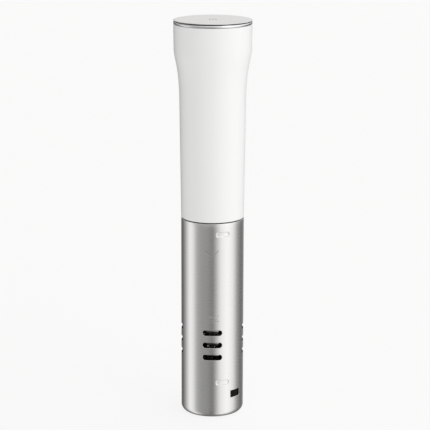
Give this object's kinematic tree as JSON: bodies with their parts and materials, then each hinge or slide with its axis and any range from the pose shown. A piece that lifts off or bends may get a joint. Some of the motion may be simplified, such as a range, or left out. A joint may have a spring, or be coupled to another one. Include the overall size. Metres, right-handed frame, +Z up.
{
  "type": "sous vide circulator",
  "caption": "Stick immersion circulator with a flared white head, a touch plate on top and a slotted steel sleeve over its heater and pump.",
  "frame": {"origin": "centre of the round foot, on the surface it stands on", "axes": "+Z up along the stick, front with the display marks towards -Y, cord inlet at the back towards +Y"},
  "size_m": [0.0718, 0.0718, 0.3694],
  "materials": {
    "sleeve_steel": "satin, fine brushing round the tube",
    "bright_steel": "bright",
    "heater_steel": "polished tube",
    "bezel_chrome": "polished",
    "silver_plate": "fine satin",
    "plain_aluminium": "plain",
    "white_shell": "gloss",
    "black_plastic": "fine matt",
    "grey_plastic": "matt",
    "circuit_board": "solder mask",
    "tape_yellow": "tape",
    "seal_rubber": "matt",
    "bush_brass": "turned",
    "motor_copper": "varnished copper",
    "magnet_ferrite": "ferrite",
    "wire_red": "silicone insulation"
  },
  "bodies": {
    "root": {"lower_carrier": "grey_plastic", "lower_bush": "bush_brass", "heater_coil": "heater_steel", "heater_nut_1": "bush_brass", "heater_nut_2": "bush_brass", "guide_rod_1": "bright_steel", "guide_rod_2": "bright_steel", "temperature_probe": "bright_steel", "level_electrode_1": "bright_steel", "level_electrode_2": "bright_steel", "bulkhead": "black_plastic", "bulkhead_seal": "seal_rubber", "junction_gasket": "seal_rubber", "shaft_bearing": "bright_steel", "shaft_seal": "seal_rubber", "upper_housing": "white_shell", "cord_inlet": "black_plastic", "inlet_nut": "black_plastic", "chassis": "grey_plastic", "motor_bracket": "plain_aluminium", "motor_can": "plain_aluminium", "motor_magnet_1": "magnet_ferrite", "motor_magnet_2": "magnet_ferrite", "motor_end_cap": "black_plastic", "power_board": "circuit_board", "transformer": "tape_yellow", "capacitor": "black_plastic", "relay": "black_plastic", "heat_sink": "plain_aluminium", "terminal_block": "grey_plastic", "heater_lead_1": "wire_red", "heater_lead_2": "wire_red", "head_frame": "grey_plastic", "display_board": "circuit_board", "digit_display": "black_plastic", "buzzer": "black_plastic", "bezel_ring": "bezel_chrome", "plate_gasket": "seal_rubber", "control_plate": "silver_plate", "chassis_screw_1": "bright_steel", "chassis_screw_2": "bright_steel", "chassis_screw_3": "bright_steel", "bracket_screw_1": "bright_steel", "bracket_screw_2": "bright_steel", "motor_screw_1": "bright_steel", "motor_screw_2": "bright_steel", "board_screw_1": "bright_steel", "board_screw_2": "bright_steel", "head_screw_1": "bright_steel", "head_screw_2": "bright_steel", "head_screw_3": "bright_steel"},
    "rotor": {"drive_shaft": "bright_steel", "impeller": "grey_plastic", "impeller_nut": "bright_steel", "shaft_coupling": "bush_brass", "motor_rotor": "motor_copper"},
    "sleeve": {"steel_sleeve": "sleeve_steel"},
    "intake": {"intake_base": "black_plastic"}
  },
  "joints": [
    {"name": "rotor_spin", "type": "hinge", "parent": "root", "child": "rotor", "pos_m": [0, 0, 0.1], "axis": [0, 0, 1], "continuous": true},
    {"name": "sleeve_twist", "type": "hinge", "parent": "root", "child": "sleeve", "pos_m": [0, 0, 0.1], "axis": [0, 0, 1], "range_deg": [0, 28]},
    {"name": "base_twist", "type": "hinge", "parent": "sleeve", "child": "intake", "pos_m": [0, 0, 0.02], "axis": [0, 0, 1], "range_deg": [0, 28]}
  ]
}
